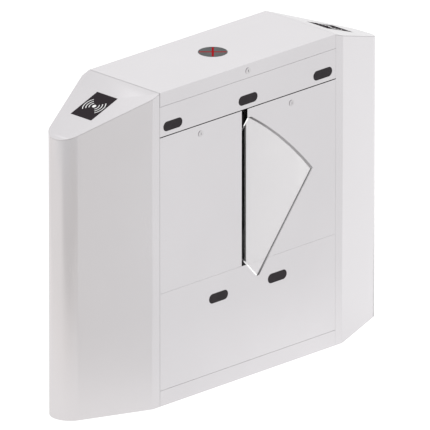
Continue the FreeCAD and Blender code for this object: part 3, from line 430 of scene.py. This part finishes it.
def make_softbox():
    """Large weak light overhead, aimed at the foot of the cabinet."""
    data = bpy.data.lights.new("top_softbox", "AREA")
    data.shape = "SQUARE"
    data.size = 2.5
    data.energy = 8
    light = bpy.data.objects.new("top_softbox", data)
    bpy.context.scene.collection.objects.link(light)
    light.location = (0, 0.5, 3.2)
    light.rotation_euler = (-light.location).to_track_quat("-Z", "Y").to_euler()


# ---- Mesh building ------------------------------------------------------------------------------

def at(axis, level, pair):
    """Point at a level along one axis, with the two other coordinates in x, y, z order."""
    point = list(pair)
    point.insert("xyz".index(axis), level)
    return Vector(point)


def polar(centre, radius, angle):
    """Point of a plane at a distance and an angle, in degrees, from a centre."""
    turn = math.radians(angle)
    return (centre[0] + radius * math.cos(turn), centre[1] + radius * math.sin(turn))


def arc(centre, radius, start, sweep, steps):
    """Points along an arc of a plane, in degrees."""
    return [polar(centre, radius, start + sweep * step / steps) for step in range(steps + 1)]


def circle(centre, radius, count, start=0):
    """Evenly spaced points on a circle, the first at an angle in degrees."""
    return arc(centre, radius, start, 360, count)[:-1]


HEAD_SIDES = 24


def hexagonal(centre, across):
    """Hexagon of a width across flats, drawn with as many points as a round screw head."""
    points = []
    for step in range(HEAD_SIDES):
        angle = 360 * step / HEAD_SIDES
        radius = across / 2 / math.cos(math.radians(angle % 60 - 30))
        points.append(polar(centre, radius, angle))
    return points


class Solid:
    """Closed bodies gathered into one named piece; a paint is a number among its materials."""

    def __init__(self, turn=None):
        self.mesh = bmesh.new()
        self.turn = turn or Matrix()

    def loop(self, axis, level, outline):
        return [self.mesh.verts.new(self.turn @ at(axis, level, point)) for point in outline]

    def face(self, corners, paint):
        self.mesh.faces.new(corners).material_index = paint

    def wall(self, first, second, paint):
        for index in range(len(first)):
            after = (index + 1) % len(first)
            self.face((first[index], first[after], second[after], second[index]), paint)

    def stack(self, axis, sections, paint, caps=True):
        """Skin over outlines of equal length; without caps the last one joins the first."""
        loops = [self.loop(axis, level, outline) for level, outline in sections]
        for first, second in zip(loops, loops[1:]):
            self.wall(first, second, paint)
        if caps:
            self.face(loops[0], paint)
            self.face(loops[-1], paint)
        else:
            self.wall(loops[-1], loops[0], paint)

    def slab(self, axis, outline, low, high, paint=0):
        self.stack(axis, [(low, outline), (high, outline)], paint)

    def box(self, low, high, paint=0):
        corners = [(low[0], low[1]), (high[0], low[1]), (high[0], high[1]), (low[0], high[1])]
        self.slab("z", corners, low[2], high[2], paint)

    def rod(self, axis, centre, radius, low, high, paint=0, sides=32):
        self.slab(axis, circle(centre, radius, sides), low, high, paint)

    def ring(self, axis, centre, inner, outer, low, high, paint=0, sides=48):
        rims = [circle(centre, radius, sides) for radius in (inner, outer)]
        sections = [(low, rims[0]), (low, rims[1]), (high, rims[1]), (high, rims[0])]
        self.stack(axis, sections, paint, caps=False)

    def band(self, axis, centre, radius, width, start, sweep, low, high):
        """Flat arc-shaped stroke with square ends."""
        outline = arc(centre, radius + width / 2, start, sweep, 16)
        outline += reversed(arc(centre, radius - width / 2, start, sweep, 16))
        self.slab(axis, outline, low, high)

    def screw(self, axis, centre, radius, seat, top, paint=0):
        """Screw head with a hexagonal socket, from its seat to its top."""
        depth = (top - seat) * 0.6
        outer = circle(centre, radius, HEAD_SIDES)
        socket = hexagonal(centre, radius)
        chamfer = circle(centre, radius * 0.88, HEAD_SIDES)
        edge = seat + (top - seat) * 0.85
        head = [(seat, outer), (edge, outer), (top, chamfer), (top, socket), (top - depth, socket)]
        self.stack(axis, head, paint)

    def piece(self, name, body, slot, *paints, bevel=0.0, stands_for=()):
        """Make the object, let it ride on a body, and hide the CAD nodes it stands for."""
        bmesh.ops.recalc_face_normals(self.mesh, faces=self.mesh.faces)
        data = bpy.data.meshes.new(name)
        self.mesh.to_mesh(data)
        self.mesh.free()
        data.shade_smooth()
        data.set_sharp_from_angle(angle=math.radians(35))
        for paint in paints:
            data.materials.append(PAINT[paint])
        item = bpy.data.objects.new(name, data)
        bpy.context.scene.collection.objects.link(item)
        if bevel:
            round_edges(item, bevel)
        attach(item, body)
        if stands_for:
            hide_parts(*stands_for)
        return item


def round_edges(item, width):
    bevel = item.modifiers.new("edge_round", "BEVEL")
    bevel.width = width
    bevel.segments = 2
    bevel.limit_method = "ANGLE"
    bevel.angle_limit = math.radians(40)
    bevel.harden_normals = True


def solids(name):
    """Lowest and highest corner of each loose solid of a CAD node, in order of their centres."""
    data = NODES[name].data
    owner = {}

    def root(key):
        while owner[key] != key:
            key = owner[key]
        return key

    keys = [tuple(round(c, 5) for c in vertex.co) for vertex in data.vertices]
    for key in keys:
        owner.setdefault(key, key)
    for polygon in data.polygons:
        first, *others = [keys[index] for index in polygon.vertices]
        for other in others:
            owner[root(other)] = root(first)
    groups = {}
    for key in owner:
        groups.setdefault(root(key), []).append(key)
    boxes = [(Vector(map(min, zip(*points))), Vector(map(max, zip(*points))))
             for points in groups.values()]
    return sorted(boxes, key=lambda pair: tuple(round(c, 4) for c in pair[0] + pair[1]))


def middle(pair):
    return (pair[0] + pair[1]) / 2


def turned_about(centre, angle):
    """Turn about the vertical line through a centre, in degrees."""
    place = Matrix.Translation((centre.x, centre.y, 0))
    return place @ Matrix.Rotation(math.radians(angle), 4, "Z")


# ---- Clear flap ---------------------------------------------------------------------------------

def flap_outline():
    """Outline beside the pivot when retracted: y inward, z up, as the CAD draws it."""
    front, back, bottom = -40.6 * MM, 237 * MM, 143.5 * MM
    radius, corner = 607 * MM, 8 * MM
    rise = math.sqrt((radius - corner) ** 2 - (back - corner) ** 2)
    corner_centre = (back - corner, rise)
    first = math.degrees(math.atan2(rise, back - corner))
    last = math.degrees(math.acos(front / radius))
    outline = [(front, bottom), (back, bottom)]
    outline += arc(corner_centre, corner, 0, first, 8)
    return outline + arc((0, 0), radius, first, last - first, 64)[1:]


def make_flap():
    """Polished acrylic wing, swung out about its pivot."""
    low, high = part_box("flap")
    turn = Matrix.Translation(FLAP_PIVOT) @ Matrix.Rotation(math.radians(FLAP_SWING), 4, "X")
    wing = Solid(turn)
    wing.slab("x", flap_outline(), low.x, high.x)
    polished, sawn_arc, sawn_front_painted_shade = 1, 2, 3
    edges = [face for face in wing.mesh.faces if len(face.verts) == 4]
    for face in edges:
        centre = turn.inverted() @ face.calc_center_median()
        if centre.yz.length > 600 * MM:
            face.material_index = sawn_arc
        elif centre.y < -40 * MM:
            face.material_index = sawn_front_painted_shade
        else:
            face.material_index = polished
    item = wing.piece("flap_wing", "flap", "clear_flap", "acrylic", "acrylic_edge", "arc_edge",
                      "front_edge", bevel=0.4 * MM, stands_for=["flap"])
    item.visible_shadow = False
    item.visible_glossy = False


# ---- Symbols, indicator and small fittings of the outside ---------------------------------------

def make_symbol(side, sign):
    """Dot between two fans of three arcs, printed on a reader window."""
    centre = middle(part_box(f"reader_window_{side}"))
    slope = math.radians(READER_SLOPE) * sign
    turn = Matrix.Translation(centre) @ Matrix.Rotation(slope, 4, "Y")
    face, print_height = 1.5 * MM, 0.12 * MM
    mark = Solid(turn)
    mark.rod("z", (0, 0), 6.5 * MM, face, face + print_height)
    for radius in (16, 26, 36):
        for start in (45, 225):
            mark.band("z", (0, 0), radius * MM, 2.6 * MM, start, 90, face, face + print_height)
    mark.piece(f"reader_symbol_{side}", "cabinet", "dark_window", "symbol")


def make_indicator():
    """Smoked lens in a dark rim, with a red cross of two lit bars."""
    low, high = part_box("indicator_lens")
    centre = middle((low, high))
    outer = (high.x - low.x) / 2
    inner = outer - 2.2 * MM
    lens = Solid()
    lens.rod("z", centre.xy, inner, low.z, high.z - 0.25 * MM, sides=96)
    lens.piece("indicator_disc", "lid", "indicator_glass", "lens", bevel=0.3 * MM,
               stands_for=["indicator_lens"])
    border = Solid()
    border.ring("z", centre.xy, inner, outer, low.z, high.z, sides=96)
    border.piece("indicator_rim", "lid", "black_plastic", "rim", bevel=0.25 * MM)
    bars = Solid()
    length, width = 82 * MM, 6.4 * MM
    for angle, top in ((45, high.z - 0.03 * MM), (135, high.z - 0.09 * MM)):
        bars.turn = turned_about(centre, angle)
        bars.box((-length / 2, -width / 2, high.z - 0.8 * MM), (length / 2, width / 2, top))
    bars.piece("indicator_bars", "lid", "indicator_red", "cross", stands_for=["indicator_cross"])


def make_housing_details():
    """Back cover with its screws and a cable gland, under the indicator's housing."""
    low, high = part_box("indicator_housing")
    centre = middle((low, high))
    radius = (high.x - low.x) / 2
    parts = Solid()
    parts.rod("z", centre.xy, 0.72 * radius, low.z - 2 * MM, low.z + MM, 0, 64)
    parts.slab("z", hexagonal(centre.xy, 17 * MM), low.z - 7 * MM, low.z - MM, 0)
    parts.ring("z", centre.xy, 4 * MM, 6.5 * MM, low.z - 14 * MM, low.z - 6 * MM, 0, 24)
    for place in circle(centre, 0.86 * radius, 4, 45):
        parts.screw("z", place, 3.2 * MM, low.z + 0.5 * MM, low.z - 2.6 * MM, 1)
    parts.piece("indicator_fittings", "lid", "black_plastic", "black", "bolt", bevel=0.3 * MM)


def make_rear_screws():
    """Socket screws of the rear panel and of the lid's hinges."""
    low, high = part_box("rear_panel")
    screws = Solid()
    inset = 22 * MM
    halfway = (low.z + high.z) / 2
    for x in (low.x + inset, 0, high.x - inset):
        for z in (low.z + inset, halfway, high.z - 2.2 * inset):
            if x or z != halfway:
                screws.screw("y", (x, z), 4 * MM, high.y, high.y + 2.2 * MM)
    screws.piece("rear_panel_screws", "cabinet", "bolt_steel", "bolt")
    for node, body in (("lid_hinge_fixed_leaves", "cabinet"), ("lid_hinge_moving_leaves", "lid")):
        heads = Solid()
        for pair in solids(node):
            level = pair[0].z + 5.5 * MM if body == "cabinet" else pair[1].z - 5.5 * MM
            for share in (0.2, 0.5, 0.8):
                x = pair[0].x + share * (pair[1].x - pair[0].x)
                heads.screw("y", (x, level), 2.6 * MM, pair[0].y + 1.4 * MM, pair[0].y + 2.6 * MM)
        heads.piece(f"{node}_screws", body, "bolt_steel", "bolt")


def make_seals():
    """Rubber seals inside the folded edges of the doors and the lid."""
    width, thickness, inset = 9 * MM, 4 * MM, 4 * MM
    for door in ("door_left", "door_right"):
        low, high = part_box(door)
        y = low.y + 2 * MM
        seal = Solid()
        for a, b in strips((low.x + inset, low.z + inset), (high.x - inset, high.z - inset), width):
            seal.box((a[0], y, a[1]), (b[0], y + thickness, b[1]))
        seal.piece(f"{door}_seal", door, "rubber", "rubber", bevel=MM)
    low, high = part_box("lid")
    z = high.z - 2 * MM
    seal = Solid()
    for a, b in strips((low.x + inset, low.y + inset), (high.x - inset, high.y - inset), width):
        seal.box((a[0], a[1], z - thickness), (b[0], b[1], z))
    seal.piece("lid_seal", "lid", "rubber", "rubber", bevel=MM)


def strips(low, high, width):
    """Corners of four strips along the inside of a rectangle, which meet without overlap."""
    return [(low, (high[0], low[1] + width)),
            ((low[0], high[1] - width), high),
            ((low[0], low[1] + width), (low[0] + width, high[1] - width)),
            ((high[0] - width, low[1] + width), (high[0], high[1] - width))]


# ---- Drive --------------------------------------------------------------------------------------

def make_motor():
    """Finned motor barrel with end bells and a screwed rear cap."""
    low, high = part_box("motor")
    centre = middle((low, high)).yz
    radius = (high.z - low.z) / 2
    length = high.x - low.x
    motor = Solid()
    fin_count = 32
    fins = []
    for index in range(fin_count):
        for share, reach in ((0, 0.88), (0.18, 1.0), (0.52, 1.0), (0.70, 0.88)):
            fins.append(polar(centre, radius * reach, 360 * (index + share) / fin_count))
    motor.slab("x", fins, low.x + 0.12 * length, low.x + 0.80 * length)
    for start, end in ((0, 0.12), (0.80, 0.90)):
        motor.rod("x", centre, radius * 0.97, low.x + start * length, low.x + end * length, 1, 64)
    motor.rod("x", centre, radius * 0.82, low.x + 0.90 * length, high.x, 0, 64)
    motor.ring("x", centre, radius * 0.2, radius * 0.28, high.x - 0.4 * MM, high.x, 1)
    for place in circle(centre, 0.86 * radius, 4, 45):
        motor.screw("x", place, 3 * MM, low.x + 0.9 * length, low.x + 0.925 * length, 1)
    motor.piece("motor_body", "cabinet", "motor_paint", "motor", "gearbox", bevel=0.5 * MM,
                stands_for=["motor"])


def make_gearbox():
    """Cast worm gearbox with cooling ribs, a bearing cover, socket screws and a filler plug."""
    low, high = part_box("gearbox")
    centre = middle((low, high))
    box = Solid()
    body_low = Vector((low.x + 3 * MM, low.y + 4 * MM, low.z + 4 * MM))
    body_high = Vector((high.x, high.y - 4 * MM, high.z - 4 * MM))
    box.box(body_low, body_high)
    for index in range(6):
        x = low.x + (0.2 + 0.13 * index) * (high.x - low.x)
        box.box((x, low.y, low.z), (x + 2.6 * MM, high.y, high.z))
    cover = middle(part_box("output_shaft")).yz
    box.ring("x", cover, 12 * MM, 34 * MM, low.x, low.x + 4 * MM, 0, 64)
    for place in circle(cover, 28 * MM, 6):
        box.screw("x", place, 3 * MM, low.x + MM, low.x - 1.5 * MM, 1)
    for y in (body_low.y + 8 * MM, body_high.y - 8 * MM):
        for z in (body_low.z + 8 * MM, body_high.z - 8 * MM):
            box.screw("x", (y, z), 3.4 * MM, body_low.x + MM, body_low.x - 2.6 * MM, 1)
    plug = hexagonal((centre.x + 18 * MM, centre.y), 11 * MM)
    box.slab("z", plug, high.z - MM, high.z + 4 * MM, 1)
    box.piece("gearbox_casting", "cabinet", "gearbox_metal", "gearbox", "bolt", bevel=0.8 * MM,
              stands_for=["gearbox"])


def make_screws(name, node, body):
    """Socket cap screws with washers in place of a node of plain bolts along X."""
    fasteners = Solid()
    for low, high in solids(node):
        centre = middle((low, high)).yz
        radius = (high.y - low.y) / 2
        fasteners.rod("x", centre, radius * 0.6, low.x + MM, high.x - MM, sides=24)
        head = min(radius * 0.75, (high.x - low.x) / 3)
        fasteners.screw("x", centre, radius * 0.93, low.x + head, low.x)
        fasteners.screw("x", centre, radius * 0.93, high.x - head, high.x)
        for level in (low.x + head, high.x - head):
            fasteners.ring("x", centre, radius * 0.6, radius, level - 0.4 * MM, level + 0.4 * MM,
                           sides=24)
    fasteners.piece(name, body, "bolt_steel", "bolt", stands_for=[node])


# ---- Electrical equipment -----------------------------------------------------------------------

def make_control_box():
    """Two-part plastic case: seam, cover screws, status lamps, vents and plug-in connectors."""
    low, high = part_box("control_box")
    case = Solid()
    seam = low.y + 0.45 * (high.y - low.y)
    lip = 1.2 * MM
    foot = 14 * MM
    black, bolt, green, amber, board = range(1, 6)
    body_low, body_high = Vector((low.x, low.y, low.z + foot)), high
    case.box((body_low.x, seam + lip, body_low.z), body_high)
    case.box((body_low.x + lip, seam, body_low.z + lip),
             (body_high.x - lip, seam + 2 * lip, body_high.z - lip), black)
    case.box((body_low.x, low.y + 1.5 * MM, body_low.z), (body_high.x, seam, body_high.z))
    case.box((low.x + 12 * MM, low.y + 0.4 * MM, body_low.z + 12 * MM),
             (high.x - 12 * MM, low.y + 4 * MM, body_high.z - 12 * MM))
    for x in (low.x + 6 * MM, high.x - 6 * MM):
        for z in (body_low.z + 6 * MM, body_high.z - 6 * MM):
            case.screw("y", (x, z), 2.8 * MM, low.y + 2 * MM, low.y, bolt)
    for index in range(9):
        z = body_high.z - (30 + 7 * index) * MM
        case.box((low.x + 30 * MM, low.y, z), (high.x - 30 * MM, low.y + MM, z + 3 * MM), black)
    for index, lamp in enumerate((green, green, amber, green, amber)):
        x = low.x + (34 + 12 * index) * MM
        case.rod("y", (x, body_low.z + 34 * MM), 2.2 * MM, low.y, low.y + MM, lamp, 20)
    for index in range(5):
        x = low.x + (16 + 27 * index) * MM
        case.box((x, low.y + 8 * MM, low.z), (x + 22 * MM, low.y + 24 * MM, body_low.z + MM), board)
        for pin in range(4):
            place = (x + (4 + 4.7 * pin) * MM, low.z + 7 * MM)
            case.rod("y", place, 1.5 * MM, low.y + 7.4 * MM, low.y + 9 * MM, bolt, 16)
    case.piece("control_unit", "cabinet", "control_plastic", "grey_plastic", "black", "bolt",
               "lamp_green", "lamp_amber", "board", bevel=0.8 * MM, stands_for=["control_box"])


def make_power_supply():
    """Switching supply: folded case with a truly perforated cover and a row of screw terminals."""
    low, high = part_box("power_supply")
    black, terminal, bolt = 1, 2, 3
    edge = 9 * MM
    case_low = low.z + 18 * MM
    unit = Solid()
    unit.box((low.x, low.y + 3 * MM, case_low), high, black)
    rim = [((low.x, case_low), (low.x + edge, high.z)),
           ((high.x - edge, case_low), (high.x, high.z)),
           ((low.x + edge, case_low), (high.x - edge, case_low + edge)),
           ((low.x + edge, high.z - edge), (high.x - edge, high.z))]
    for a, b in rim:
        unit.box((a[0], low.y, a[1]), (b[0], low.y + 3.2 * MM, b[1]))
    for x in (low.x, high.x - MM):
        unit.box((x, low.y, case_low), (x + MM, high.y, high.z))
    unit.box((low.x, low.y + 12 * MM, low.z), (high.x, high.y, case_low), terminal)
    for index in range(7):
        x = low.x + (10 + 15.8 * index) * MM
        unit.rod("y", (x, low.z + 9 * MM), 3.6 * MM, low.y + 10 * MM, low.y + 13 * MM, bolt, 24)
        unit.box((x - 3 * MM, low.y + 9.6 * MM, low.z + 8.5 * MM),
                 (x + 3 * MM, low.y + 10.2 * MM, low.z + 9.5 * MM), terminal)
        if index:
            unit.box((x - 8.6 * MM, low.y + 6 * MM, low.z),
                     (x - 7.2 * MM, low.y + 14 * MM, case_low), terminal)
    unit.piece("supply_case", "cabinet", "supply_case", "supply", "black", "terminal", "bolt",
               bevel=0.4 * MM, stands_for=["power_supply"])
    grille = perforated((low.x + edge, case_low + edge), (high.x - edge, high.z - edge),
                        low.y + MM, pitch=7 * MM, radius=2.4 * MM)
    grille.piece("supply_grille", "cabinet", "supply_case", "supply")


def perforated(low, high, y, pitch, radius):
    """Sheet in the XZ plane with a square grid of eight-sided holes, 1 mm thick."""
    plate = Solid()
    sides = 8
    columns, rows = (max(1, round((high[i] - low[i]) / pitch)) for i in (0, 1))
    step = ((high[0] - low[0]) / columns, (high[1] - low[1]) / rows)
    thickness = MM
    for column in range(columns):
        for row in range(rows):
            centre = (low[0] + (column + 0.5) * step[0], low[1] + (row + 0.5) * step[1])
            hole = circle(centre, radius, sides)
            square = []
            for x, z in hole:
                dx, dz = x - centre[0], z - centre[1]
                grow = min(step[0] / 2 / max(abs(dx), 1e-9), step[1] / 2 / max(abs(dz), 1e-9))
                square.append((centre[0] + dx * grow, centre[1] + dz * grow))
            for side in range(sides):
                after = (side + 1) % sides
                patch = [hole[side], hole[after], square[after], square[side]]
                plate.slab("y", patch, y, y + thickness)
    return plate


def make_terminals():
    """Stepped rail terminals with clamp screws, wire entries and end stops."""
    blocks = Solid()
    for low, high in solids("terminal_blocks"):
        depth, height = high.y - low.y, high.z - low.z
        profile = [(1, 0.0), (1, 1.0), (0.45, 1.0), (0.45, 0.86), (0.12, 0.80), (0.12, 0.62),
                   (0, 0.58), (0, 0.42), (0.12, 0.38), (0.12, 0.20), (0.45, 0.14), (0.45, 0.0)]
        outline = [(low.y + a * depth, low.z + b * height) for a, b in profile]
        blocks.slab("x", outline, low.x, high.x)
        x = (low.x + high.x) / 2
        for share in (0.29, 0.71):
            z = low.z + share * height
            blocks.rod("y", (x, z), 3 * MM, low.y + 0.10 * depth, low.y + 0.2 * depth, 1, 20)
            blocks.box((x - 2.6 * MM, low.y + 0.085 * depth, z - 0.4 * MM),
                       (x + 2.6 * MM, low.y + 0.15 * depth, z + 0.4 * MM), 2)
        for share in (0.07, 0.93):
            z = low.z + share * height
            blocks.rod("y", (x, z), 2.6 * MM, low.y + 0.43 * depth, low.y + 0.5 * depth, 2, 20)
    blocks.piece("terminal_row", "cabinet", "terminal_plastic", "terminal", "bolt", "black",
                 bevel=0.35 * MM, stands_for=["terminal_blocks"])


def make_plate_screws():
    """Screws that fix the equipment plate."""
    screws = Solid()
    low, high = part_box("equipment_plate")
    for z in (low.z + 12 * MM, middle((low, high)).z + 30 * MM, high.z - 40 * MM):
        for x in (low.x + 10 * MM, high.x - 12 * MM):
            screws.screw("y", (x, z), 3.5 * MM, low.y, low.y - 2.6 * MM)
    screws.piece("equipment_plate_screws", "cabinet", "bolt_steel", "bolt")


def make_sensor_details():
    """Connector with four pins and a lamp on the back of each sensor module."""
    parts = Solid()
    for low, high in solids("sensor_modules"):
        centre = middle((low, high))
        parts.box((centre.x - 11 * MM, high.y - 0.5 * MM, centre.z - 5 * MM),
                  (centre.x + 11 * MM, high.y + 6 * MM, centre.z + 5 * MM), 1)
        for index in range(4):
            x = centre.x + (index - 1.5) * 4 * MM
            parts.box((x - 0.8 * MM, high.y + 5.5 * MM, centre.z - 2 * MM),
                      (x + 0.8 * MM, high.y + 6.3 * MM, centre.z + 2 * MM), 2)
        lamp = (centre.x + 18 * MM, centre.z)
        parts.rod("y", lamp, 2 * MM, high.y - 0.5 * MM, high.y + 0.8 * MM, 3, 20)
    parts.piece("sensor_connectors", "cabinet", "black_plastic", "black", "symbol", "bolt",
                "lamp_green", bevel=0.3 * MM)


def make_lamp_board():
    """Board under the indicator's lens, with two rows of lamps along the bars of its cross."""
    low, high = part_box("indicator_board")
    centre = middle((low, high))
    board = Solid()
    board.box(low, high)
    board.turn = turned_about(centre, 45)
    steps = range(-3, 4)
    pitch, half = 8 * MM, 1.7 * MM
    for x, y in sorted({(step, 0) for step in steps} | {(0, step) for step in steps}):
        board.box((x * pitch - half, y * pitch - half, high.z - 0.2 * MM),
                  (x * pitch + half, y * pitch + half, high.z + 1.2 * MM), 1)
    board.piece("indicator_lamp_board", "lid", "circuit_board", "board", "symbol", bevel=0.2 * MM,
                stands_for=["indicator_board"])


# ---- Build --------------------------------------------------------------------------------------

make_camera()
finish_nodes()
make_floor()
make_bounce()
make_surroundings()
make_softbox()
soften_sheets()
make_flap()
make_symbol("left", -1)
make_symbol("right", 1)
make_indicator()
make_housing_details()
make_rear_screws()
make_seals()
make_motor()
make_gearbox()
make_screws("clamp_screws", "clamp_bolts", "flap")
make_screws("bearing_screws", "bearing_bolts", "cabinet")
make_control_box()
make_power_supply()
make_terminals()
make_plate_screws()
make_sensor_details()
make_lamp_board()
